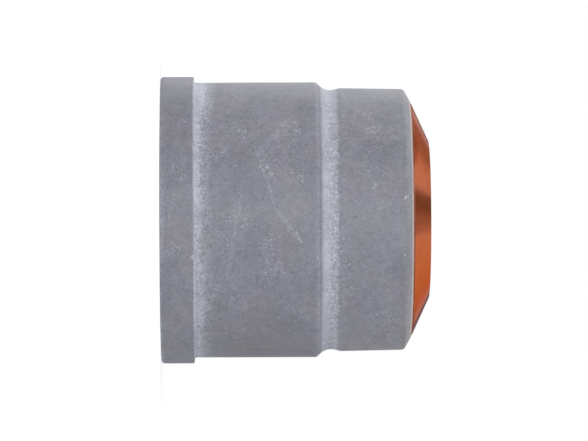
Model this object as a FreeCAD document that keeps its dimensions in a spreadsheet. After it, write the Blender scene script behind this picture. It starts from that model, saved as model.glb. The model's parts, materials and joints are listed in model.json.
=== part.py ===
"""Shield cap for a machine plasma torch, in millimetres.

Two pieces, bonded for good: a moulded insulating shell, and the turned copper
nose that it covers. The cap stands on the rear face of its grip flange, with
the axis along +Z and the copper on top. The origin is the centre of that rear
face, and a station is a height above it.

The torch's thread comes first. Every other radius is a wall or a step away
from it, outwards through the copper and the shell, or inwards to the bores.
"""

import FreeCAD, Part
import math
import os
import re

import Sketcher

# Each driving size: name, value, what it measures. Lengths are in millimetres
# and angles in degrees. Walls, steps and widths are taken on the radius.
SIZES = [
    # Inside of the copper, from the thread to the front opening
    ("thread_diameter", 39.0, "nominal diameter of the torch thread"),
    ("thread_pitch", 1.5, "pitch of the torch thread"),
    ("thread_length", 12.0, "copper's end face to the last thread"),
    ("relief_width", 2.5, "run-out groove beyond the thread, along the axis"),
    ("relief_depth", 0.3, "floor of that groove, below the thread's roots"),
    ("pilot_step", 1.5, "smooth bore ahead of the thread, in from its roots"),
    ("funnel_angle", 45.0, "gas funnel behind the shield, from the axis"),
    ("seat_diameter", 28.6, "bore that takes the shield's flange"),
    ("seat_depth", 4.2, "length of that bore"),
    ("lip_width", 2.3, "lip that holds the shield, in from its seat"),
    ("lip_thickness", 2.2, "lip, along the axis"),
    # Outside of the copper
    ("sleeve_wall", 1.85, "threaded sleeve, over the thread's roots"),
    ("sleeve_length", 20.0, "copper's end face to the step up to the nose"),
    ("nose_step", 1.125, "nose, in from the sleeve"),
    ("nose_land", 0.2, "straight band of the nose that clears the shell"),
    ("cone_angle", 24.8, "nose cone, from the plane of the front face"),
    ("face_width", 1.75, "flat front face round the opening"),
    # Insulating shell, from the rear face to the nose
    ("bond_gap", 0.05, "room for the bond between copper and shell"),
    ("skirt_depth", 7.0, "rear face to the copper's end face"),
    ("skirt_step", 0.7, "open skirt, out from the sleeve's bore"),
    ("barrel_wall", 2.57, "barrel, over the sleeve's bore"),
    ("flange_lip", 1.03, "grip flange, out from the barrel"),
    ("flange_width", 5.78, "grip flange, along the axis"),
    ("barrel_length", 21.2, "flange to the shoulder"),
    ("shoulder_angle", 42.0, "shoulder flank, from the axis"),
    ("neck_depth", 1.36, "undercut neck, in from the barrel"),
    ("neck_floor", 1.3, "floor of the neck, along the axis"),
    ("ramp_angle", 13.0, "rise from the neck to the head, from the axis"),
    ("head_rise", 0.33, "wide end of the head, out from the neck"),
    ("head_draft", 1.0, "mould draft on the head"),
    ("shell_length", 43.4, "rear face to the front rim"),
    ("bevel_run", 1.2, "front bevel, along the axis"),
    ("rim_width", 0.35, "flat rim between the bevel and the copper"),
    # Broken edges and mould radii
    ("grip_radius", 0.6, "rear edge of the flange"),
    ("flange_radius", 0.25, "front edge of the flange"),
    ("root_radius", 0.35, "corner between flange and barrel"),
    ("crest_radius", 0.5, "edge between barrel and shoulder"),
    ("neck_radius", 2.6, "hollow between shoulder and neck"),
    ("ramp_radius", 2.0, "both ends of the ramp"),
    ("brow_radius", 0.7, "edge between head and bevel"),
    ("rim_radius", 0.12, "edge between bevel and rim"),
    ("skirt_chamfer", 0.6, "mouth of the skirt"),
    ("sleeve_chamfer", 0.3, "both ends of the sleeve"),
    ("entry_chamfer", 1.0, "mouth of the thread"),
    ("face_radius", 0.35, "rim of the front face"),
    ("lip_chamfer", 0.2, "both edges of the front opening"),
    ("lead_radius", 0.5, "both ends of the gas funnel"),
]

# Radii inside the copper. An internal metric thread stands in from its nominal
# diameter by this share of its pitch.
THREAD_BORE = "(thread_diameter - 1.0825 * thread_pitch) / 2"
RELIEF = "thread_diameter / 2 + relief_depth"
PILOT = "thread_diameter / 2 - pilot_step"
SEAT = "seat_diameter / 2"
OPENING = f"{SEAT} - lip_width"
FACE = f"{OPENING} + face_width"

# Radii outside it, from the sleeve out to the flange
SLEEVE = "thread_diameter / 2 + sleeve_wall"
NOSE = f"{SLEEVE} - nose_step"
SLEEVE_BORE = f"{SLEEVE} + bond_gap"
NOSE_BORE = f"{NOSE} + bond_gap"
SKIRT = f"{SLEEVE_BORE} + skirt_step"
BARREL = f"{SLEEVE_BORE} + barrel_wall"
FLANGE = f"{BARREL} + flange_lip"
NECK = f"{BARREL} - neck_depth"
HEAD = f"{NECK} + head_rise"
RIM = f"{NOSE_BORE} + rim_width"

# Stations
SHOULDER_END = "flange_width + barrel_length"
SLEEVE_END = "skirt_depth + sleeve_length"
THREAD_END = "skirt_depth + thread_length"
RELIEF_END = f"{THREAD_END} + relief_width"
BEVEL_START = "shell_length - bevel_run"
CONE_START = "shell_length + nose_land"

# How a sketch numbers its own origin and its horizontal axis
ORIGIN_POINT = (-1, 1)
HORIZONTAL_AXIS = -1


def size_sheet(doc):
    """The sheet of driving sizes, one alias to a row."""
    sheet = doc.addObject("Spreadsheet::Sheet", "sizes")
    for row, (name, value, note) in enumerate(SIZES, start=1):
        sheet.set(f"A{row}", name)
        sheet.set(f"B{row}", str(value))
        sheet.set(f"C{row}", note)
        sheet.setAlias(f"B{row}", name)
    doc.recompute()


def of_sheet(formula):
    """A formula on size names, with each name read from the sheet."""
    return re.sub("([a-z_]+)", r"sizes.\1", formula)


def measured(doc, formula):
    """What a formula on size names comes to."""
    return float(doc.sizes.evalExpression(of_sheet(formula)))


def dimension(sketch, constraint, name, formula):
    """Adds a named dimension to a sketch and binds it to a formula."""
    index = sketch.addConstraint(constraint)
    sketch.renameConstraint(index, name)
    sketch.setExpression(f"Constraints.{name}", of_sheet(formula))


def section(body, name, start, runs):
    """Draws a closed half section, radius across and station up.

    start is the first corner's radius and station. Each run is one straight
    line: its name, its direction and what ends it. The direction is across,
    along or a tilt in degrees from straight outwards. A line ends at a radius,
    at a station or after a length, and a free line at both a radius and a
    station. The last two lines go back to the first corner, so nothing ends
    them. Returns the sketch and the corners, each named after the line that
    ends there.
    """
    doc = body.Document
    sketch = body.newObject("Sketcher::SketchObject", name)
    planes = [feature for feature in body.Origin.OriginFeatures if feature.Role == "XZ_Plane"]
    sketch.AttachmentSupport = [(planes[0], "")]
    sketch.MapMode = "FlatFace"

    first = FreeCAD.Vector(measured(doc, start[0]), measured(doc, start[1]), 0)
    here = first
    corners = {"start": first}
    for index, (label, direction, ends) in enumerate(runs):
        there = run_end(doc, first, here, direction, ends)
        sketch.addGeometry(Part.LineSegment(here, there))
        if index:
            sketch.addConstraint(Sketcher.Constraint("Coincident", index - 1, 2, index, 1))
        corners[label] = there
        here = there
    last = len(runs) - 1
    sketch.addConstraint(Sketcher.Constraint("Coincident", last, 2, 0, 1))

    place_start(sketch, start, first)
    for index, (label, direction, ends) in enumerate(runs):
        if direction == "across":
            sketch.addConstraint(Sketcher.Constraint("Horizontal", index))
        elif direction == "along":
            sketch.addConstraint(Sketcher.Constraint("Vertical", index))
        elif direction != "free":
            angle = math.radians(measured(doc, direction))
            dimension(sketch, Sketcher.Constraint("Angle", index, angle), f"{label}_tilt", direction)
        for kind, formula in ends.items():
            end_dimension(sketch, index, label, kind, formula, corners[label])
    doc.recompute()
    return sketch, corners


def run_end(doc, first, here, direction, ends):
    """Where a line that starts here ends."""
    values = {kind: measured(doc, formula) for kind, formula in ends.items()}
    if direction == "across":
        return FreeCAD.Vector(values.get("radius", first.x), here.y, 0)
    if direction == "along":
        if "rise" in values:
            return FreeCAD.Vector(here.x, here.y + values["rise"], 0)
        if "drop" in values:
            return FreeCAD.Vector(here.x, here.y - values["drop"], 0)
        return FreeCAD.Vector(here.x, values.get("station", first.y), 0)
    if direction == "free":
        return FreeCAD.Vector(values["radius"], values["station"], 0)
    slope = math.tan(math.radians(measured(doc, direction)))
    if "radius" in values:
        return FreeCAD.Vector(values["radius"], here.y + (values["radius"] - here.x) * slope, 0)
    return FreeCAD.Vector(here.x + (values["station"] - here.y) / slope, values["station"], 0)


def place_start(sketch, start, first):
    """Ties the first corner of a section to the axis and the rear face."""
    radius, station = start
    across = Sketcher.Constraint("DistanceX", *ORIGIN_POINT, 0, 1, first.x)
    dimension(sketch, across, "start_radius", radius)
    if station == "0":
        sketch.addConstraint(Sketcher.Constraint("PointOnObject", 0, 1, HORIZONTAL_AXIS))
    else:
        up = Sketcher.Constraint("DistanceY", *ORIGIN_POINT, 0, 1, first.y)
        dimension(sketch, up, "start_station", station)


def end_dimension(sketch, index, label, kind, formula, corner):
    """Dimensions the far end of a line: a radius, a station or a length."""
    if kind == "radius":
        constraint = Sketcher.Constraint("DistanceX", *ORIGIN_POINT, index, 2, corner.x)
    elif kind == "station":
        constraint = Sketcher.Constraint("DistanceY", *ORIGIN_POINT, index, 2, corner.y)
    else:
        constraint = Sketcher.Constraint("Distance", index, sketch.Geometry[index].length())
    dimension(sketch, constraint, f"{label}_{kind}", formula)


def turned(body, kind, name, sketch):
    """Spins a section round the cap's axis, as a Revolution or a Groove."""
    feature = body.newObject(f"PartDesign::{kind}", name)
    feature.Profile = sketch
    feature.ReferenceAxis = (sketch, ["V_Axis"])
    feature.Angle = 360.0
    body.Document.recompute()


def rings(feature, corners):
    """Names of the round edges of a feature that pass through some corners."""
    tolerance = 1e-4
    found = []
    for number, edge in enumerate(feature.Shape.Edges, start=1):
        if not isinstance(edge.Curve, Part.Circle):
            continue
        ring = FreeCAD.Vector(edge.Curve.Radius, edge.Curve.Center.z, 0)
        if any(ring.distanceToPoint(corner) < tolerance for corner in corners):
            found.append(f"Edge{number}")
    return found


def dressed(body, kind, name, size, corners):
    """Fillets or chamfers the body's round edges at some corners."""
    base = body.Tip
    feature = body.newObject(f"PartDesign::{kind}", name)
    feature.Base = (base, rings(base, corners))
    feature.setExpression("Radius" if kind == "Fillet" else "Size", of_sheet(size))
    body.Document.recompute()


def insulating_shell(doc):
    """The grey moulding: flange, barrel, shoulder, neck, head and bevel."""
    body = doc.addObject("PartDesign::Body", "insulating_shell")
    sketch, at = section(body, "shell_section", (SKIRT, "0"), [
        ("rear_face", "across", {"radius": FLANGE}),
        ("flange", "along", {"station": "flange_width"}),
        ("flange_front", "across", {"radius": BARREL}),
        ("barrel", "along", {"station": SHOULDER_END}),
        ("shoulder", "90 + shoulder_angle", {"radius": NECK}),
        ("neck", "along", {"rise": "neck_floor"}),
        ("ramp", "90 - ramp_angle", {"radius": HEAD}),
        ("head", "90 + head_draft", {"station": BEVEL_START}),
        ("bevel", "free", {"radius": RIM, "station": "shell_length"}),
        ("rim", "across", {"radius": NOSE_BORE}),
        ("nose_bore", "along", {"station": SLEEVE_END}),
        ("inner_step", "across", {"radius": SLEEVE_BORE}),
        ("sleeve_bore", "along", {"station": "skirt_depth"}),
        ("skirt_end", "across", {}),
        ("skirt", "along", {}),
    ])
    turned(body, "Revolution", "shell_moulding", sketch)
    dressed(body, "Fillet", "neck_hollow", "neck_radius", [at["shoulder"]])
    dressed(body, "Fillet", "ramp_blend", "ramp_radius", [at["neck"], at["ramp"]])
    dressed(body, "Fillet", "shoulder_crest", "crest_radius", [at["barrel"]])
    dressed(body, "Fillet", "brow", "brow_radius", [at["head"]])
    dressed(body, "Fillet", "rim_edge", "rim_radius", [at["bevel"]])
    dressed(body, "Fillet", "grip_edge", "grip_radius", [at["rear_face"]])
    dressed(body, "Fillet", "flange_edge", "flange_radius", [at["flange"]])
    dressed(body, "Fillet", "flange_root", "root_radius", [at["flange_front"]])
    dressed(body, "Chamfer", "skirt_mouth", "skirt_chamfer", [at["start"]])
    return body


def copper_nose(doc):
    """The turned copper: threaded sleeve, gas funnel, shield seat and cone."""
    body = doc.addObject("PartDesign::Body", "copper_nose")
    sketch, at = section(body, "nose_section", (THREAD_BORE, "skirt_depth"), [
        ("end_face", "across", {"radius": SLEEVE}),
        ("sleeve", "along", {"station": SLEEVE_END}),
        ("sleeve_step", "across", {"radius": NOSE}),
        ("nose", "along", {"station": CONE_START}),
        ("cone", "180 - cone_angle", {"radius": FACE}),
        ("front_face", "across", {"radius": OPENING}),
        ("opening", "along", {"drop": "lip_thickness"}),
        ("lip", "across", {"radius": SEAT}),
        ("seat", "along", {"drop": "seat_depth"}),
        ("funnel", "funnel_angle - 90", {"radius": PILOT}),
        ("pilot", "along", {"station": RELIEF_END}),
        ("pilot_end", "across", {}),
        ("thread", "along", {}),
    ])
    turned(body, "Revolution", "turned_blank", sketch)

    relief, _ = section(body, "relief_section", (THREAD_BORE, THREAD_END), [
        ("near_wall", "across", {"radius": RELIEF}),
        ("floor", "along", {"station": RELIEF_END}),
        ("far_wall", "across", {}),
        ("mouth", "along", {}),
    ])
    turned(body, "Groove", "thread_relief", relief)

    dressed(body, "Fillet", "face_rim", "face_radius", [at["cone"]])
    dressed(body, "Fillet", "funnel_ends", "lead_radius", [at["seat"], at["funnel"]])
    dressed(body, "Chamfer", "lip_edges", "lip_chamfer", [at["front_face"], at["opening"]])
    dressed(body, "Chamfer", "sleeve_ends", "sleeve_chamfer", [at["end_face"], at["sleeve"]])
    dressed(body, "Chamfer", "thread_entry", "entry_chamfer", [at["start"]])
    return body


def check(doc, bodies):
    """Stops the build if a feature failed or a piece is no sound solid."""
    doc.recompute()
    for item in doc.Objects:
        if "Invalid" in item.State or "Error" in item.State:
            raise RuntimeError(f"{item.Label} failed: {item.State}")
    for body in bodies:
        if body.Shape.isNull() or not body.Shape.isValid():
            raise RuntimeError(f"{body.Label} has no valid shape")
        if len(body.Shape.Solids) != 1:
            raise RuntimeError(f"{body.Label} is {len(body.Shape.Solids)} solids")


def main():
    doc = FreeCAD.newDocument("shield_cap")
    size_sheet(doc)
    bodies = [insulating_shell(doc), copper_nose(doc)]
    check(doc, bodies)
    os.makedirs("parts", exist_ok=True)
    for body in bodies:
        body.Shape.exportStep(f"parts/{body.Label}.step")
        print(f"{body.Label}: {body.Shape.Volume:.1f} cubic millimetres")


main()
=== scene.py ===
"""Finish of a plasma shield cap: a grey moulded shell round a turned copper nose.

The cap stands on the rear face of its grip flange, with the axis along +Z.
Sizes are in millimetres, and meshes are made in metres. A station is a height
above the rear face. A turn is an angle about the axis, 0 on the side towards
the camera (-Y) and growing towards -X.
"""

import json
import math
import random

import bmesh
import bpy
import numpy as np
from mathutils import Matrix, Vector


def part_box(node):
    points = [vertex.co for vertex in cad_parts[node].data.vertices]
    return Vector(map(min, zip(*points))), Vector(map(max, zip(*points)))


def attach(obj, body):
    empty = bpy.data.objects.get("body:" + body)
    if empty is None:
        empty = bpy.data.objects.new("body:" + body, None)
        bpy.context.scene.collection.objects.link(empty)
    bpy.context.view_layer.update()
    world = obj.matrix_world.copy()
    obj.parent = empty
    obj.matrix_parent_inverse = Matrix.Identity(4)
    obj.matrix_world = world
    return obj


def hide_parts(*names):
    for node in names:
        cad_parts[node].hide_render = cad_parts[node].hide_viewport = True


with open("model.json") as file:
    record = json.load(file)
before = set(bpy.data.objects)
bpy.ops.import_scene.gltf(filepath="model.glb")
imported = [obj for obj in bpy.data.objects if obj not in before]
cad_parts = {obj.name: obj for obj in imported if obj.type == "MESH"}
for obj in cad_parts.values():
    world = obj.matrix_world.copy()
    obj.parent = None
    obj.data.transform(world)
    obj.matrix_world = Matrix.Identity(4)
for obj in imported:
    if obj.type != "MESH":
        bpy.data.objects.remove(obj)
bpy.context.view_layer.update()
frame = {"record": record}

MM = 0.001

SHELL_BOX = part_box("insulating_shell")
NOSE_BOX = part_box("copper_nose")
BORES = {mount["name"]: mount["dims"].get("r_mm") for mount in frame["record"]["mounts"]}

# Radii of the shell, from the flange in
FLANGE = SHELL_BOX[1].x / MM
BARREL = FLANGE - 1.03
NECK = BARREL - 1.36
HEAD = NECK + 0.33
SKIRT = BORES["torch_skirt"]

# Radii of the copper
SLEEVE = NOSE_BOX[1].x / MM
NOSE = SLEEVE - 1.125
THREAD_BORE = BORES["torch_thread"]
PILOT = BORES["pilot_bore"]
SEAT = BORES["shield_seat"]
OPENING = BORES["front_opening"]
FACE = OPENING + 1.75

# The bond between the two
BOND_GAP = 0.05
NOSE_BORE = NOSE + BOND_GAP
SLEEVE_BORE = SLEEVE + BOND_GAP
RIM = NOSE_BORE + 0.35

# Stations
FLANGE_FRONT = 5.78
SHOULDER = FLANGE_FRONT + 21.2
NECK_START = SHOULDER + (BARREL - NECK) / math.tan(math.radians(42))
NECK_END = NECK_START + 1.3
HEAD_START = NECK_END + (HEAD - NECK) / math.tan(math.radians(13))
SHELL_TOP = SHELL_BOX[1].z / MM
BEVEL_START = SHELL_TOP - 1.2
BROW = HEAD - (BEVEL_START - HEAD_START) * math.tan(math.radians(1))
SKIRT_DEPTH = NOSE_BOX[0].z / MM
SLEEVE_END = SKIRT_DEPTH + 20
NOSE_TOP = NOSE_BOX[1].z / MM
CONE_START = SHELL_TOP + 0.2
LIP = NOSE_TOP - 2.2
SEAT_END = LIP - 4.2
FUNNEL_END = SEAT_END - (PILOT - SEAT)

# The torch thread, a 60 degree metric one, with its entry and its run-out
PITCH = 1.5
THREAD_DEPTH = PITCH * math.cos(math.radians(30)) * 5 / 8
CREST = PITCH / 4
FLANK = PITCH * 5 / 16
ROOT = PITCH / 8
THREAD_END = SKIRT_DEPTH + 12
RELIEF = THREAD_BORE + THREAD_DEPTH + 0.3
RELIEF_END = THREAD_END + 2.5
ENTRY = 1.0

# The photograph: its size, and the camera's place, aim and tilt that give its view
IMAGE_WIDTH = 588
FOCAL = 4950
SENSOR = 36
EYE = Vector((0.12, -864, 12.15))
AIM = Vector((0.12, 0, 23.15))
TILT = math.radians(-0.2)

WHITE = (1, 1, 1, 1)

# Chips in the shell's edges: turn in degrees, station, reach and depth
CHIPS = [
    (-14.5, FLANGE_FRONT - 0.05, 0.42, 0.14),
    (9.6, BEVEL_START - 0.3, 0.24, 0.05),
    (-15.4, BEVEL_START - 0.5, 0.20, 0.04),
]

# Scratches across the shell: turn and station of both ends, width and strength
SCRATCHES = [
    (46.0, 22.8, 23.5, 15.2, 1.10, 0.10),
    (20.0, 14.6, -25.4, 11.35, 0.60, 0.12),
    (-12.9, 12.0, -25.4, 11.35, 0.28, 0.14),
    (33.5, 15.9, 4.0, 19.9, 0.35, 0.15),
    (4.0, 19.9, -7.4, 23.5, 0.60, 0.13),
    (-4.9, 23.2, -9.4, 24.2, 0.36, 0.27),
    (22.8, 12.7, 22.6, 13.3, 0.10, 0.40),
    (21.6, 2.3, 19.2, 2.4, 0.18, 0.32),
    (2.8, 1.5, 0.6, 1.8, 0.18, 0.28),
    (17.5, 3.9, 16.2, 3.6, 0.18, 0.25),
    (-9.0, 18.1, -12.0, 18.5, 0.16, 0.25),
    (-36.0, 8.1, -40.5, 8.5, 0.16, 0.30),
    (26.0, 35.2, 17.0, 40.2, 0.30, 0.12),
    (41.5, 36.4, 39.0, 36.9, 0.18, 0.35),
    (8.4, 41.7, 10.6, 42.3, 0.14, 0.80),
    (10.6, 42.3, 8.3, 42.5, 0.10, 0.50),
]

# Patches of light flecks: turn, station, reach and the share of the ground they take
FLECKED = [
    (48.9, 8.4, 2.0, 0.75), (38.6, 14.1, 2.2, 0.75), (33.5, 15.8, 1.3, 0.95),
    (23.3, 17.9, 1.4, 0.80), (20.7, 18.7, 1.4, 0.95), (43.1, 22.3, 1.4, 0.70),
    (38.7, 21.0, 1.4, 0.90), (38.8, 23.9, 1.3, 0.70), (33.6, 22.0, 1.3, 0.90),
    (26.0, 22.7, 1.3, 0.70), (18.7, 23.7, 2.0, 0.75), (29.0, 9.8, 2.0, 0.90),
    (44.4, 26.3, 1.2, 0.80), (0.8, 12.4, 1.7, 0.75), (-0.8, 14.4, 1.5, 0.60),
    (-9.5, 10.5, 2.4, 0.50), (-10.5, 18.3, 1.4, 0.60), (-9.9, 24.2, 1.3, 0.70),
    (-19.2, 19.4, 2.7, 0.48), (-24.9, 15.7, 1.5, 0.65), (-32.0, 9.2, 2.4, 0.65),
    (-23.5, 19.2, 1.4, 0.55), (-37.0, 13.2, 2.2, 0.38), (-40.0, 23.5, 3.2, 0.30),
    (-56.0, 11.5, 2.6, 0.32), (52.5, 35.2, 1.8, 0.75), (42.0, 36.9, 2.2, 0.70),
    (36.0, 38.5, 2.2, 0.60), (20.0, 35.6, 1.5, 0.95), (16.0, 36.2, 1.3, 0.70),
    (-11.9, 36.6, 0.9, 0.80), (-21.0, 31.8, 2.0, 0.80), (-28.0, 31.4, 1.9, 0.90),
    (-35.0, 31.3, 1.6, 0.75), (-48.4, 38.6, 3.0, 0.55), (-69.0, 38.0, 4.0, 0.65),
    (9.0, 1.7, 1.8, 0.45), (20.0, 3.6, 2.0, 0.50), (-12.0, 2.3, 2.0, 0.40),
]

# Smudges, a little darker than the ground, partly dirt and partly painted shade on the side away from the
# lamps, mainly the wide one at turn -62: turn, station, reach and strength
SMUDGES_AND_SHADE = [
    (-62.0, 17.0, 15.0, 0.24), (-40.0, 25.0, 7.0, 0.10), (-10.0, 18.5, 7.0, 0.13),
    (52.0, 3.2, 6.0, 0.09), (-40.0, 35.5, 5.0, 0.07), (30.0, 37.0, 5.0, 0.13),
    (58.0, 24.5, 5.0, 0.05), (-14.0, 40.8, 2.6, 0.10), (-24.0, 41.2, 3.4, 0.16),
    (-36.0, 41.2, 3.2, 0.12), (27.0, 25.8, 5.0, 0.07), (-43.0, 26.8, 4.5, 0.14),
    (-42.0, 13.0, 6.5, 0.14), (30.0, 14.5, 6.5, 0.12), (36.0, 3.0, 4.0, 0.12),
    (16.0, 39.0, 4.0, 0.11), (-31.0, 40.0, 4.0, 0.08),
]


class Field:
    """A value, colour or direction that varies over a surface: one socket of a material."""

    def __init__(self, finish, socket):
        self.finish = finish
        self.socket = socket

    def __add__(self, other):
        return self.finish.maths("ADD", self, other)

    __radd__ = __add__

    def __sub__(self, other):
        return self.finish.maths("SUBTRACT", self, other)

    def __rsub__(self, other):
        return self.finish.maths("SUBTRACT", other, self)

    def __mul__(self, other):
        return self.finish.maths("MULTIPLY", self, other)

    __rmul__ = __mul__

    def __neg__(self):
        return self.finish.maths("MULTIPLY", self, -1)

    def __abs__(self):
        return self.finish.maths("ABSOLUTE", self)

    def smooth(self, low, high):
        """0 up to low and 1 from high on, or the other way round, with a soft step."""
        sockets = {"Value": self, "From Min": low, "From Max": high}
        return self.finish.node("MapRange", {"interpolation_type": "SMOOTHSTEP"}, sockets)

    def tinted(self, colour, share):
        """This colour with a share of another laid over it."""
        return self.finish.mixed(self, colour, share)

    def scaled(self, share):
        """This colour or direction times a value."""
        return self.finish.node("VectorMath", {"operation": "SCALE"}, {0: self, "Scale": share})

    def along(self, direction):
        """How far this place lies in a direction."""
        return self.finish.node("VectorMath", {"operation": "DOT_PRODUCT"}, {0: self, 1: direction}, 1)

    def distance(self, place):
        return self.finish.node("VectorMath", {"operation": "DISTANCE"}, {0: self, 1: place}, 1)


class Finish:
    """One material: its shader and the patterns that feed it, in millimetres."""

    def __init__(self, name):
        self.material = bpy.data.materials.new(name)
        self.material.use_nodes = True
        self.tree = self.material.node_tree
        self.tree.nodes.clear()

    def node(self, kind, settings=None, sockets=None, output=0):
        """Adds a node with its settings and sockets, and gives one of its outputs."""
        made = self.tree.nodes.new("ShaderNode" + kind)
        for name, value in (settings or {}).items():
            setattr(made, name, value)
        for key, value in (sockets or {}).items():
            if isinstance(value, Field):
                self.tree.links.new(value.socket, made.inputs[key])
            else:
                made.inputs[key].default_value = value
        return Field(self, made.outputs[output]) if made.outputs else None

    def maths(self, operation, *values):
        return self.node("Math", {"operation": operation}, dict(enumerate(values)))

    def mixed(self, colour, other, share):
        """A colour with a share of another laid over it."""
        return self.node("Mix", {"data_type": "RGBA"}, {0: share, 6: colour, 7: other}, 2)

    def larger(self, *values):
        """The largest of some values."""
        most = values[0]
        for value in values[1:]:
            most = self.maths("MAXIMUM", most, value)
        return most

    def measure(self):
        """Sets out the place on the cap, and its station, turn and radius."""
        self.place = self.node("TexCoord", output="Object").scaled(1 / MM)
        across, away, self.station = (self.part(self.place, axis) for axis in range(3))
        self.turn = self.maths("ARCTAN2", -across, -away)
        self.radius = self.maths("SQRT", across * across + away * away)

    def part(self, whole, index):
        """One of the three numbers of a place or colour."""
        return self.node("SeparateXYZ", {}, {0: whole}, index)

    def clouds(self, size, detail=2.0, roughness=0.5, place=None):
        """Soft noise round 0.5, with lumps of about one size."""
        sockets = {
            "Vector": place or self.place,
            "Scale": 1 / size,
            "Detail": detail,
            "Roughness": roughness,
        }
        return self.node("TexNoise", {}, sockets)

    def spot(self, turn, station, reach):
        """1 at a place on the shell's skin, fading to 0 at its reach."""
        return self.place.distance(skin_place(turn, station)).smooth(reach, reach * 0.25)

    def side(self, start, full, fading, end):
        """1 between two turns, full and fading, and 0 outside start and end, all in degrees."""
        start, full, fading, end = (math.radians(turn) for turn in (start, full, fading, end))
        return self.turn.smooth(start, full) * self.turn.smooth(end, fading)

    def bump(self, height):
        """The surface's direction under a relief, its height in millimetres."""
        return self.node("Bump", {}, {"Height": height, "Distance": MM, "Strength": 1.0})

    def surface(self, sockets):
        """Makes the shader that the material shows."""
        shader = self.node("BsdfPrincipled", {}, sockets)
        self.node("OutputMaterial", {}, {"Surface": shader})
        return self.material


def skin_radius(station):
    """Radius of the shell's outer skin at a station."""
    corners = [
        (0, FLANGE),
        (FLANGE_FRONT, FLANGE),
        (FLANGE_FRONT, BARREL),
        (SHOULDER, BARREL),
        (NECK_START, NECK),
        (NECK_END, NECK),
        (HEAD_START, HEAD),
        (BEVEL_START, BROW),
        (SHELL_TOP, RIM),
    ]
    return float(np.interp(station, *zip(*corners)))


def skin_place(turn, station):
    """A place on the outer skin, from its turn in degrees and its station."""
    angle, radius = math.radians(turn), skin_radius(station)
    return Vector((-radius * math.sin(angle), -radius * math.cos(angle), station))


def hidden_side_marks():
    """Chips, scratches and flecked patches like the seen ones, round the rest of the shell."""
    chance = random.Random(11)
    for _ in range(7):
        edge = chance.choice([FLANGE_FRONT - 0.05, BEVEL_START - 0.3])
        CHIPS.append((chance.uniform(80, 280), edge, chance.uniform(0.2, 0.45), chance.uniform(0.04, 0.15)))
    for _ in range(9):
        turn, station = chance.uniform(85, 250), chance.uniform(8, 24)
        ahead, climb = chance.uniform(4, 22), chance.uniform(-3, 3)
        width, strength = chance.uniform(0.15, 0.5), chance.uniform(0.12, 0.4)
        SCRATCHES.append((turn, station, turn + ahead, station + climb, width, strength))
    for _ in range(26):
        station = chance.choice([chance.uniform(7, 26), chance.uniform(31, 41), chance.uniform(1, 5)])
        FLECKED.append((chance.uniform(75, 285), station, chance.uniform(1.2, 2.8), chance.uniform(0.5, 0.9)))
    for _ in range(7):
        SMUDGES_AND_SHADE.append((chance.uniform(100, 260), chance.uniform(2, 40), chance.uniform(4, 10), 0.07))


GREY = (0.226, 0.243, 0.285, 1)
WARM_GREY = (0.244, 0.240, 0.276, 1)
LILAC = (0.231, 0.234, 0.293, 1)
EVEN_GREY = (0.246, 0.241, 0.256, 1)
RIM_WEAR_AND_HIGHLIGHT = (0.620, 0.450, 0.405, 1)
RIM_GAP_SHADE = (0.360, 0.170, 0.125, 1)
CHALK_AND_HIGHLIGHT = (0.500, 0.517, 0.600, 1)
FROST = (0.560, 0.575, 0.650, 1)
SAND = (0.420, 0.400, 0.420, 1)
BONE = (0.640, 0.580, 0.545, 1)
SOOT_AND_SHADE = (0.105, 0.105, 0.120, 1)


def flange_chalk(finish, drift, stipple, pits):
    """Chalky share of the barrel beside the flange, with a painted highlight along its corner, and its part
    where the chalk is heavy.
    """
    station = finish.station
    heavy = finish.side(42, 58, 110, 150)
    thin = finish.side(-150, -110, 0, 12) - 0.35 * finish.side(-150, -110, -40, -22)
    narrow = finish.side(-19, -13, 0, 7)
    calm = finish.side(-8, 0, 20, 27)
    patchy = 0.90 + 0.10 * finish.clouds(6.0, detail=1).smooth(0.38, 0.58)

    reached = station - (drift - 0.5) * 0.7 - (stipple - 0.5) * 0.4
    reached = reached - heavy * 0.6 - thin * 0.6 + narrow * 0.55
    fringe = reached.smooth(FLANGE_FRONT + 3.62, FLANGE_FRONT + 0.82)
    fringe = fringe * (0.62 + stipple.smooth(0.34, 0.64) * 0.70)
    chalk = reached.smooth(FLANGE_FRONT + 1.72, FLANGE_FRONT + 0.32) * 0.60 + fringe * (0.38 + 0.10 * thin)
    chalk = chalk * station.smooth(FLANGE_FRONT - 0.22, FLANGE_FRONT + 0.08)
    chalk = chalk * finish.larger(patchy, heavy * 1.3)
    chalk = chalk * (1.28 - 0.60 * thin - pits * (0.52 - 0.34 * calm))

    # Painted highlight along the corner at the foot of the barrel, between turns of about -60 and -16 degrees
    corner = station.smooth(FLANGE_FRONT, FLANGE_FRONT + 0.08)
    corner = corner * station.smooth(FLANGE_FRONT + 0.35, FLANGE_FRONT + 0.2)
    chalk = chalk + corner * finish.side(-62, -50, -20, -16) * 0.15
    return chalk, chalk * heavy


def neck_chalk(finish, drift, stipple, pits):
    """Chalky share of the neck: smooth by the shoulder, rough towards the head."""
    station = finish.station
    reached = station - (drift - 0.5) * 0.3 - (stipple - 0.5) * 0.5
    rough = station.smooth(SHOULDER + 1.72, SHOULDER + 2.32) * (1 - finish.side(44, 62, 110, 150))
    fading = reached.smooth(SHOULDER + 3.82, SHOULDER + 3.12) * 0.86
    fading = fading + reached.smooth(SHOULDER + 5.42, SHOULDER + 3.42) * 0.14
    chalk = station.smooth(SHOULDER + 0.32, SHOULDER + 1.12) * fading
    chalk = chalk * (0.80 - pits * (0.12 + 0.46 * rough) + (stipple - 0.5) * 0.2)
    chalk = chalk * (1 - 0.22 * rough + stipple.smooth(0.48, 0.64) * rough * 0.52)
    return chalk * (1 - 0.09 * station.smooth(SHOULDER + 1.82, SHOULDER + 2.82))


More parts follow.
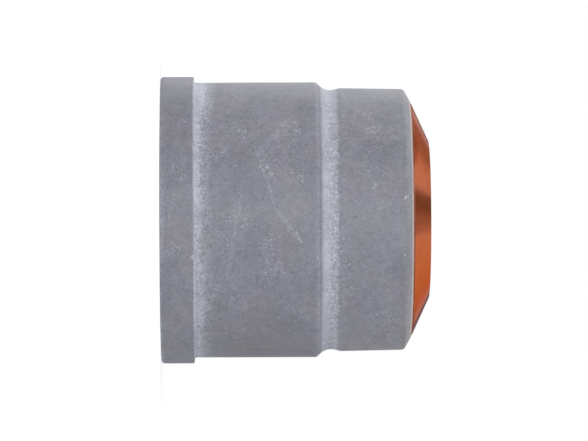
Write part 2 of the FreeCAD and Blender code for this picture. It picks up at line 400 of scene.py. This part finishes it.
def shoulder_chalk(finish, stipple):
    """Chalky share of the shoulder's edge, thin and stippled."""
    edge = finish.station.smooth(SHOULDER - 0.78, SHOULDER + 0.32)
    return edge * finish.station.smooth(SHOULDER + 0.44, SHOULDER + 0.34) * (stipple * 0.40)


def bevel_painted_light(finish):
    """Painted highlight on the bevel, which turns to the lamps: a little all round, more on the side towards
    the lamps, most on the upper side between them, and more close to the rim.
    """
    chalk = finish.side(-12, 12, 110, 150) * 0.12 + finish.side(52, 72, 110, 150) * 0.18 + 0.03
    chalk = chalk * finish.station.smooth(BEVEL_START - 0.35, BEVEL_START + 0.25)
    return chalk + 0.16 * finish.station.smooth(BEVEL_START + 0.3, SHELL_TOP)


def chalk_and_highlight_bands(finish, grain, stipple):
    """Chalky share of the ground, with the painted highlights on the bevel and at the flange corner, and its
    part where the chalk is heavy.
    """
    drift = finish.clouds(2.6, detail=2)
    pits = grain.smooth(0.47, 0.30)
    beside_flange, heavy = flange_chalk(finish, drift, stipple, pits)
    in_neck = neck_chalk(finish, drift, stipple, pits)
    return finish.larger(beside_flange, in_neck, shoulder_chalk(finish, stipple), bevel_painted_light(finish)), heavy


def flecks(finish):
    """Shares of light flecks and of dark flecks, the dark share holding painted shadow beside the light
    flecks, thick in the flecked patches.
    """
    swirl = finish.node("TexNoise", {}, {"Vector": finish.place, "Scale": 2.2, "Detail": 1.0}, 1)
    bending = {0: swirl, 1: (0.4, 0.4, 0.4), 2: finish.place}
    bent = finish.node("VectorMath", {"operation": "MULTIPLY_ADD"}, bending)
    cells = finish.node("TexVoronoi", {}, {"Vector": bent, "Scale": 2.3})
    chance = finish.node("TexVoronoi", {}, {"Vector": bent, "Scale": 2.3}, 1)
    # A copy of the fleck pattern, moved a little aside, paints a shadow beside each light fleck
    beside = finish.node("VectorMath", {"operation": "ADD"}, {0: bent, 1: (-0.14, 0.0, 0.12)})
    scuff = finish.clouds(0.36, detail=1, place=bent)
    shade = finish.clouds(0.36, detail=1, place=beside)
    dot = cells.smooth(0.55, 0.15)
    patches = (finish.spot(turn, station, reach * 1.35) * share for turn, station, reach, share in FLECKED)
    thick = finish.larger(*patches) * finish.clouds(1.5, detail=2).smooth(0.40, 0.55)
    scattered = 0.04 + 0.26 * finish.clouds(5.0, detail=2).smooth(0.45, 0.68)
    dots = dot * (thick * 0.6 + scattered - finish.part(chance, 0)).smooth(0, 0.3)
    light = finish.larger(dots * 0.8, scuff.smooth(0.51, 0.63) * thick)
    dark_dots = dot * finish.part(chance, 1).smooth(0.965, 0.98)
    dark = finish.larger(dark_dots, shade.smooth(0.50, 0.62) * thick * 0.8)
    return light, dark


def smudges_and_shade(finish):
    """Share of soot in the dark smudge marks, and of painted shade on the side away from the lamps."""
    return finish.larger(*(finish.spot(*mark[:3]) * mark[3] for mark in SMUDGES_AND_SHADE))


def scratches(finish):
    """Share of light scratches, each a straight mark faded at its ends."""
    marks = []
    for turn, station, last_turn, last_station, width, strength in SCRATCHES:
        start, end = skin_place(turn, station), skin_place(last_turn, last_station)
        middle = skin_place((turn + last_turn) / 2, (station + last_station) / 2)
        outward = Vector((middle.x, middle.y, 0)).normalized()
        sideways = (end - start).cross(outward).normalized()
        across = abs(finish.place.along(sideways) - middle.dot(sideways))
        reach = (end - start).length / 2 + width
        within = finish.place.distance(middle).smooth(reach, reach * 0.55)
        marks.append(across.smooth(width, width * 0.2) * within * strength)
    return finish.larger(*marks)


def shell_finish():
    """Grey moulding, worn and speckled, with chalky bands beside the flange and in the neck, and painted
    light and shade: highlights on the bevel, flange corner and rim, shade in the rim's gap, beside the flecks
    and on the side away from the lamps.
    """
    finish = Finish("shell_finish")
    finish.measure()
    station = finish.station
    grain = finish.clouds(0.24, detail=2, roughness=0.6)
    stipple = finish.clouds(0.45, detail=2, roughness=0.6)
    blotches = finish.clouds(1.3, detail=3, roughness=0.6)
    patches = finish.clouds(6.0, detail=3)
    tint = finish.clouds(6.5, detail=2) + 0.03 - 0.08 * finish.side(-50, -20, 10, 40)
    lilac = finish.clouds(5.0, detail=1.5)
    mottle = 0.80 * (grain - 0.5) + 0.45 * (stipple - 0.5) + 0.52 * (blotches - 0.5) + 0.36 * (patches - 0.5)
    tone = 1 + mottle * (1 + 0.16 * finish.side(15, 35, 80, 120))

    skin = finish.radius.smooth(RIM - 0.4, RIM - 0.2) * finish.larger(
        station.smooth(BEVEL_START - 3, BEVEL_START - 2.9), finish.radius.smooth(SKIRT + 0.2, SKIRT + 0.3))
    chalk, heavy_chalk = (share * skin for share in chalk_and_highlight_bands(finish, grain, stipple))
    light, dark = flecks(finish)
    rubbed = scratches(finish) * (0.5 + stipple.smooth(0.35, 0.6))
    chips = (finish.spot(turn, height, reach + 1.6 * depth) for turn, height, reach, depth in CHIPS)
    chipped = finish.larger(*chips) * (0.35 + 0.65 * grain.smooth(0.40, 0.56))
    at_rim = finish.radius.smooth(RIM - 0.2, RIM - 0.1)
    # The shell's rim edge: pale wear with a painted highlight, tinted pink by the copper's painted reflection
    rim_wear_and_highlight = station.smooth(SHELL_TOP - 0.38, SHELL_TOP - 0.26) * at_rim
    # Painted shade in the gap between the rim and the copper, tinted like the copper
    rim_shade = station.smooth(SHELL_TOP - 0.19, SHELL_TOP - 0.07) * at_rim
    # Paler towards the heel of the flange, most on the side towards the camera
    heel_paling = station.smooth(1.1, 0.4) * (finish.side(-24, -6, 12, 26) * 0.22 + 0.04)
    heel_paling = (station.smooth(0.5, 0.1) * 0.7 + heel_paling) * (0.5 + blotches)
    crease = station.smooth(SHOULDER + 0.28, SHOULDER + 0.34)
    crease = crease * station.smooth(SHOULDER + 0.48, SHOULDER + 0.40) * finish.side(-34, -24, 42, 50)

    colour = finish.mixed(GREY, WARM_GREY, tint.smooth(0.40, 0.58))
    colour = colour.tinted(LILAC, lilac.smooth(0.46, 0.64) * 0.65)
    colour = colour.tinted(EVEN_GREY, station.smooth(BEVEL_START - 1.2, BEVEL_START + 0.2) * 0.6)
    # Chalk, scratches and the paler heel, with the painted highlights on the bevel and at the flange corner
    # that ride in the chalk share
    colour = colour.tinted(CHALK_AND_HIGHLIGHT, finish.larger(chalk, rubbed, heel_paling))
    sandy = station.smooth(SHOULDER + 4.02, SHOULDER + 6.02) * finish.side(-150, -120, -78, -52)
    colour = colour.tinted(SAND, sandy * 0.28)
    colour = colour.tinted(FROST, finish.larger(light * 0.62 * skin, heavy_chalk * 0.35))
    colour = colour.tinted(BONE, chipped * 0.7)
    # Painted highlight and pale wear on the rim, then painted shade in the rim's gap
    colour = colour.tinted(RIM_WEAR_AND_HIGHLIGHT, rim_wear_and_highlight * 0.8)
    colour = colour.tinted(RIM_GAP_SHADE, rim_shade * 0.65)
    # Dark flecks with painted shadow beside the light ones, the crease line, and smudge dirt with painted
    # shade on the side away from the lamps
    colour = colour.tinted(SOOT_AND_SHADE, finish.larger(dark * 0.5 * skin, crease * 0.17, smudges_and_shade(finish)))
    relief = grain * 0.016 + stipple * chalk * 0.03 + light * 0.03 - crease * 0.02
    return finish.surface({
        "Base Color": colour.scaled(tone),
        "Roughness": 0.46 + 0.16 * blotches - 0.06 * rubbed,
        "Normal": finish.bump(relief),
    })


COPPER = (0.61, 0.245, 0.155, 1)
ORANGE_COPPER = (0.59, 0.205, 0.112, 1)
TARNISH_AND_DARK_REFLECTION = (0.15, 0.055, 0.035, 1)
EDGE_TINT = (0.64, 0.33, 0.28, 1)


def copper_finish():
    """Turned copper, with fine lines round the axis, tarnish stains, and a darker foot whose dark is a
    painted reflection.
    """
    finish = Finish("copper_finish")
    finish.measure()
    across = finish.radius + finish.station * 0.7
    lines = finish.node("TexNoise", {"noise_dimensions": "1D"}, {"W": across, "Scale": 7.0, "Detail": 3.0})
    stains = finish.clouds(2.4, detail=3)
    outside = finish.radius.smooth(SEAT + 3, SEAT + 4)
    foot = finish.station.smooth(CONE_START + 0.06, CONE_START - 0.02) * outside
    by_rim = finish.station.smooth(CONE_START + 1.0, CONE_START + 0.2) * outside
    colour = finish.mixed(COPPER, ORANGE_COPPER, finish.side(-160, -120, -20, 15))
    # Painted dark reflection on the foot: darkest from about -6 to 44 degrees round, where the front lamp
    # would glint, with a paler gap between 17 and 24
    foot_dark_reflection = foot * (0.50 + 0.30 * finish.side(-12, -6, 44, 50) - 0.60 * finish.side(12, 17, 24, 29))
    dulled = by_rim * (0.40 * finish.side(27, 33, 42, 50) + 0.25 * finish.side(-80, -62, -54, -46))
    colour = colour.tinted(TARNISH_AND_DARK_REFLECTION, finish.larger(foot_dark_reflection, dulled, stains.smooth(0.52, 0.8) * 0.25))
    return finish.surface({
        "Base Color": colour.scaled(1 + 0.3 * (lines - 0.5)),
        "Metallic": 1.0,
        "Roughness": 0.09 + 0.10 * stains + foot * 0.55,
        "Anisotropic": 0.5,
        "Anisotropic Rotation": 0.25,
        "Specular Tint": EDGE_TINT,
        "Normal": finish.bump(lines * 0.003),
    })


def bend(before, here, after, rounding, arc_step=math.radians(13)):
    """Points of the arc that rounds one corner, or the corner itself."""
    if not rounding:
        return [here]
    back = (before - here).normalized()
    ahead = (after - here).normalized()
    half = back.angle(ahead) / 2
    reach = rounding / math.tan(half)
    centre = here + (back + ahead).normalized() * rounding / math.sin(half)
    first = here + back * reach - centre
    last = here + ahead * reach - centre
    sweep = math.pi - 2 * half
    pieces = max(3, math.ceil(sweep / arc_step))
    points = []
    for index in range(pieces + 1):
        share = index / pieces
        spoke = first * math.sin((1 - share) * sweep) + last * math.sin(share * sweep)
        points.append(centre + spoke / math.sin(sweep))
    return points


def run(start, end, step, guard=0.06):
    """Points inside a straight run, one close to each end to keep its shading flat."""
    length = (end - start).length
    if length < 4 * guard:
        return []
    ahead = (end - start) / length
    inner = length - 2 * guard
    pieces = math.ceil(inner / step)
    return [start + ahead * (guard + inner * index / pieces) for index in range(pieces + 1)]


def outline(corners, step):
    """Points along a half section: radius across, station up.

    A corner is a radius, a station and the radius of its rounding. Straight
    runs are cut into steps.
    """
    places = [Vector(corner[:2]) for corner in corners]
    roundings = [corner[2] if len(corner) > 2 else 0 for corner in corners]
    last = len(places) - 1
    bends = [
        bend(places[max(index - 1, 0)], places[index], places[min(index + 1, last)], roundings[index])
        for index in range(last + 1)
    ]
    points = list(bends[0])
    for bent, following in zip(bends, bends[1:]):
        points += run(bent[-1], following[0], step) + following
    return np.array([point[:] for point in points])


def around(turns, radii, stations):
    """Places in metres for grids of turn, radius and station."""
    return np.stack([-radii * np.sin(turns), -radii * np.cos(turns), stations], axis=-1) * MM


def lathe_faces(columns, rows):
    """Faces between the columns of a grid whose rows close into a ring."""
    row = np.arange(rows)
    here = np.arange(columns - 1)[:, None] * rows
    there = here + rows
    above = (row + 1) % rows
    return np.stack([here + row, here + above, there + above, there + row], axis=-1).reshape(-1, 4)


def piece(name, turns, radii, stations, sharp, material, node):
    """Makes one piece of the cap from rows of turned places, and puts it for a solid of the frame."""
    mesh = bpy.data.meshes.new(name)
    mesh.from_pydata(around(turns, radii, stations).reshape(-1, 3), [], lathe_faces(*radii.shape))
    weld = bmesh.new()
    weld.from_mesh(mesh)
    bmesh.ops.remove_doubles(weld, verts=weld.verts, dist=1e-4 * MM)
    bmesh.ops.recalc_face_normals(weld, faces=weld.faces)
    weld.to_mesh(mesh)
    weld.free()
    mesh.shade_smooth()
    mesh.set_sharp_from_angle(angle=math.radians(sharp))
    mesh.materials.append(material)
    made = bpy.data.objects.new(name, mesh)
    bpy.context.scene.collection.objects.link(made)
    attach(made, "root")
    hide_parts(node)


def edge_wear(turns, stations):
    """Depth worn off the shell's two front edges: a slight waviness all round."""
    chance = random.Random(5)
    worn = np.zeros(stations.shape)
    for edge, depth in ((FLANGE_FRONT, 0.035), (BEVEL_START, 0.03)):
        wave = sum(
            np.sin(turns * count + chance.uniform(0, 2 * math.pi)) * chance.uniform(0.3, 1)
            for count in (5, 9, 17, 31, 47, 71, 97)
        )
        worn += depth * np.clip(0.4 + 0.3 * wave, 0, 1) * np.exp(-((stations - edge) / 0.3) ** 2)
    return worn


def chip_depth(turns, radii, stations):
    """Depth of the chips in the shell's edges."""
    deepest = np.zeros(stations.shape)
    for turn, station, reach, depth in CHIPS:
        place = skin_place(turn, station) * MM
        away = np.linalg.norm(around(turns, radii, stations) - np.array(place[:]), axis=-1) / MM
        deepest = np.maximum(deepest, depth * np.clip(1.3 - (away / reach) ** 2, 0, 1))
    return deepest


SHELL_SEGMENTS = 480
OUTER_STEP = 0.8
INNER_STEP = 3.0
SKIRT_BEVEL = 0.6

# Radii of the roundings along the shell, from the heel of the flange up
HEEL_ROUNDING = 0.6
FLANGE_EDGE_ROUNDING = 0.25
BARREL_FOOT_ROUNDING = 0.35
CREST_ROUNDING = 0.5
NECK_HOLLOW = 2.6
RAMP_BLEND = 2.0
BROW_ROUNDING = 0.7
RIM_ROUNDING = 0.12


def moulded_shell():
    """The shell: flange, barrel, neck, head and bevel, over its stepped bore."""
    skin = outline([
        (SKIRT + SKIRT_BEVEL, 0),
        (FLANGE, 0, HEEL_ROUNDING),
        (FLANGE, FLANGE_FRONT, FLANGE_EDGE_ROUNDING),
        (BARREL, FLANGE_FRONT, BARREL_FOOT_ROUNDING),
        (BARREL, SHOULDER, CREST_ROUNDING),
        (NECK, NECK_START, NECK_HOLLOW),
        (NECK, NECK_END, RAMP_BLEND),
        (HEAD, HEAD_START, RAMP_BLEND),
        (BROW, BEVEL_START, BROW_ROUNDING),
        (RIM, SHELL_TOP, RIM_ROUNDING),
        (NOSE_BORE, SHELL_TOP),
    ], OUTER_STEP)
    bore = outline([
        (NOSE_BORE, SHELL_TOP),
        (NOSE_BORE, SLEEVE_END),
        (SLEEVE_BORE, SLEEVE_END),
        (SLEEVE_BORE, SKIRT_DEPTH),
        (SKIRT, SKIRT_DEPTH),
        (SKIRT, SKIRT_BEVEL),
        (SKIRT + SKIRT_BEVEL, 0),
    ], INNER_STEP)
    turns = np.linspace(0, 2 * math.pi, SHELL_SEGMENTS + 1)[:, None]
    radii, stations = (np.broadcast_to(column, (len(turns), len(skin))) for column in skin.T)
    radii = radii - edge_wear(turns, stations) - chip_depth(turns, radii, stations)
    bore_radii, bore_stations = (np.broadcast_to(column, (len(turns), len(bore))) for column in bore.T)
    radii, stations = np.hstack([radii, bore_radii]), np.hstack([stations, bore_stations])
    piece("moulded_shell", turns, radii, stations, 32, shell_finish(), "insulating_shell")


NOSE_SEGMENTS = 384
NOSE_STEP = 0.9


def thread_radius(phase):
    """Radius of the thread at a share of its pitch: crest, flank, root, flank."""
    rise = np.interp(
        phase * PITCH,
        [0, CREST, CREST + FLANK, CREST + FLANK + ROOT, PITCH],
        [0, 0, THREAD_DEPTH, THREAD_DEPTH, 0],
    )
    return THREAD_BORE + rise


def thread_rows(turns):
    """Radii and stations of the thread, one row to each side of a crest or root.

    The rows climb with the helix, a right-hand one, so that they lie along its
    crests. Where they would leave the thread they stay on its end.
    """
    breaks = np.array([0, CREST, CREST + FLANK / 2, CREST + FLANK, CREST + FLANK + ROOT,
                       PITCH - FLANK / 2]) / PITCH
    pitches = math.ceil((THREAD_END - SKIRT_DEPTH) / PITCH) + 1
    phases = (np.arange(pitches)[:, None] + breaks).ravel()
    climb = turns / (2 * math.pi)
    stations = np.clip(THREAD_END - PITCH * (phases - 1 + climb), SKIRT_DEPTH, THREAD_END)
    radii = thread_radius(((THREAD_END - stations) / PITCH - climb) % 1)
    entry = THREAD_BORE + ENTRY - (stations - SKIRT_DEPTH)
    return np.maximum(radii, entry), stations


def turned_nose():
    """The copper: sleeve and thread, gas funnel, shield seat and cone."""
    section = outline([
        (THREAD_BORE + ENTRY, SKIRT_DEPTH),
        (SLEEVE - 0.3, SKIRT_DEPTH),
        (SLEEVE, SKIRT_DEPTH + 0.3),
        (SLEEVE, SLEEVE_END),
        (NOSE, SLEEVE_END),
        (NOSE, CONE_START),
        (FACE, NOSE_TOP, 0.35),
        (OPENING + 0.2, NOSE_TOP),
        (OPENING, NOSE_TOP - 0.2),
        (OPENING, LIP + 0.2),
        (OPENING + 0.2, LIP),
        (SEAT, LIP),
        (SEAT, SEAT_END, 0.5),
        (PILOT, FUNNEL_END, 0.5),
        (PILOT, RELIEF_END),
        (RELIEF, RELIEF_END),
        (RELIEF, THREAD_END),
    ], NOSE_STEP)
    turns = np.linspace(0, 2 * math.pi, NOSE_SEGMENTS + 1)[:, None]
    radii, stations = (np.broadcast_to(column, (len(turns), len(section))) for column in section.T)
    thread_radii, thread_stations = thread_rows(turns)
    radii, stations = np.hstack([radii, thread_radii]), np.hstack([stations, thread_stations])
    piece("turned_nose", turns, radii, stations, 28, copper_finish(), "copper_nose")


def camera():
    """The camera, rolled so that the cap's axis lies across the picture."""
    data = bpy.data.cameras.new("camera")
    data.sensor_width = SENSOR
    data.lens = FOCAL * SENSOR / IMAGE_WIDTH
    data.clip_start = 0.05
    data.clip_end = 50
    made = bpy.data.objects.new("camera", data)
    bpy.context.scene.collection.objects.link(made)
    back = (EYE - AIM).normalized()
    right = Vector((-1, 0, 0)).cross(back).normalized()
    up = back.cross(right)
    turn = Matrix((right, up, back)).transposed() @ Matrix.Rotation(TILT, 3, "Z")
    made.matrix_world = Matrix.Translation(EYE * MM) @ turn.to_4x4()
    bpy.context.scene.camera = made


def soft_light(name, place, size, strength):
    """A soft box that looks at the cap."""
    data = bpy.data.lights.new(name, "AREA")
    data.shape = "RECTANGLE"
    data.size = size[0] * MM
    data.size_y = size[1] * MM
    data.energy = strength
    made = bpy.data.objects.new(name, data)
    bpy.context.scene.collection.objects.link(made)
    face_cap(made, place, "-Z")


def face_cap(made, place, axis):
    """Stands something in the studio, with one of its axes towards the cap."""
    made.location = Vector(place) * MM
    made.rotation_mode = "QUATERNION"
    made.rotation_quaternion = (Vector((0, 0, 23)) - Vector(place)).to_track_quat(axis, "Y")


def card(name, place, size, paper_colour):
    """A card that shows only in reflections."""
    mesh = bpy.data.meshes.new(name)
    half_width, half_height = size[0] / 2 * MM, size[1] / 2 * MM
    corners = [(-half_width, -half_height, 0), (half_width, -half_height, 0),
               (half_width, half_height, 0), (-half_width, half_height, 0)]
    mesh.from_pydata(corners, [], [(0, 1, 2, 3)])
    paper = Finish(name + "_paper")
    mesh.materials.append(paper.surface({"Base Color": (*paper_colour, 1), "Roughness": 1.0}))
    made = bpy.data.objects.new(name, mesh)
    bpy.context.scene.collection.objects.link(made)
    face_cap(made, place, "Z")
    made.visible_camera = False
    made.visible_diffuse = False
    made.visible_shadow = False


def floor():
    """A pale floor under the cap that keeps its shadow."""
    mesh = bpy.data.meshes.new("floor")
    reach = 6.0
    corners = [(-reach, -reach, 0), (reach, -reach, 0), (reach, reach, 0), (-reach, reach, 0)]
    mesh.from_pydata(corners, [], [(0, 1, 2, 3)])
    finish = Finish("floor_finish")
    seen = finish.node("LightPath", output="Is Camera Ray")
    mirrored = finish.node("LightPath", output="Is Glossy Ray")
    diffuse = finish.node("BsdfDiffuse", {}, {"Color": (0.7, 0.7, 0.7, 1)})
    glow = finish.node("Emission", {}, {"Strength": finish.larger(seen, mirrored) * 0.5})
    both = finish.node("AddShader", {}, {0: diffuse, 1: glow})
    finish.node("OutputMaterial", {}, {"Surface": both})
    mesh.materials.append(finish.material)
    made = bpy.data.objects.new("floor", mesh)
    bpy.context.scene.collection.objects.link(made)


def studio():
    """White all round for the camera and for reflections, and a little less as a light."""
    world = bpy.data.worlds.new("studio")
    bpy.context.scene.world = world
    world.use_nodes = True
    nodes, links = world.node_tree.nodes, world.node_tree.links
    back = nodes["Background"]
    back.inputs["Color"].default_value = WHITE
    path = nodes.new("ShaderNodeLightPath")
    seen = nodes.new("ShaderNodeMath")
    seen.operation = "MAXIMUM"
    links.new(path.outputs["Is Camera Ray"], seen.inputs[0])
    links.new(path.outputs["Is Glossy Ray"], seen.inputs[1])
    level = nodes.new("ShaderNodeMapRange")
    level.inputs["To Min"].default_value = 0.8
    level.inputs["To Max"].default_value = 1.0
    links.new(seen.outputs[0], level.inputs["Value"])
    links.new(level.outputs[0], back.inputs["Strength"])


hidden_side_marks()
moulded_shell()
turned_nose()
camera()
floor()
studio()
soft_light("front", (-60, -800, 60), (250, 250), 1.95)
soft_light("top_back", (-450, 400, 60), (400, 500), 1.0)

# Cards for the bands in the copper: the four nose flags stand in a row, from dark to pale
card("low_flag", (420, 380, 60), (600, 700), (0.01, 0.01, 0.01))
for name, across, width, paper_colour in (
    ("nose_flag", -41, 32, (0.34, 0.26, 0.18)),
    ("nose_flag_inner", -18, 16, (0.46, 0.36, 0.28)),
    ("nose_flag_middle", 0, 20, (0.64, 0.54, 0.50)),
    ("nose_flag_edge", 20, 20, (0.82, 0.76, 0.76)),
):
    card(name, (across, 393, 430), (width, 900), paper_colour)
card("top_flag", (-120, 560, 350), (120, 190), (0.80, 0.82, 0.80))
card("bottom_flag", (95, 790, 200), (90, 170), (0.35, 0.35, 0.35))

bpy.context.scene.view_settings.view_transform = "Standard"
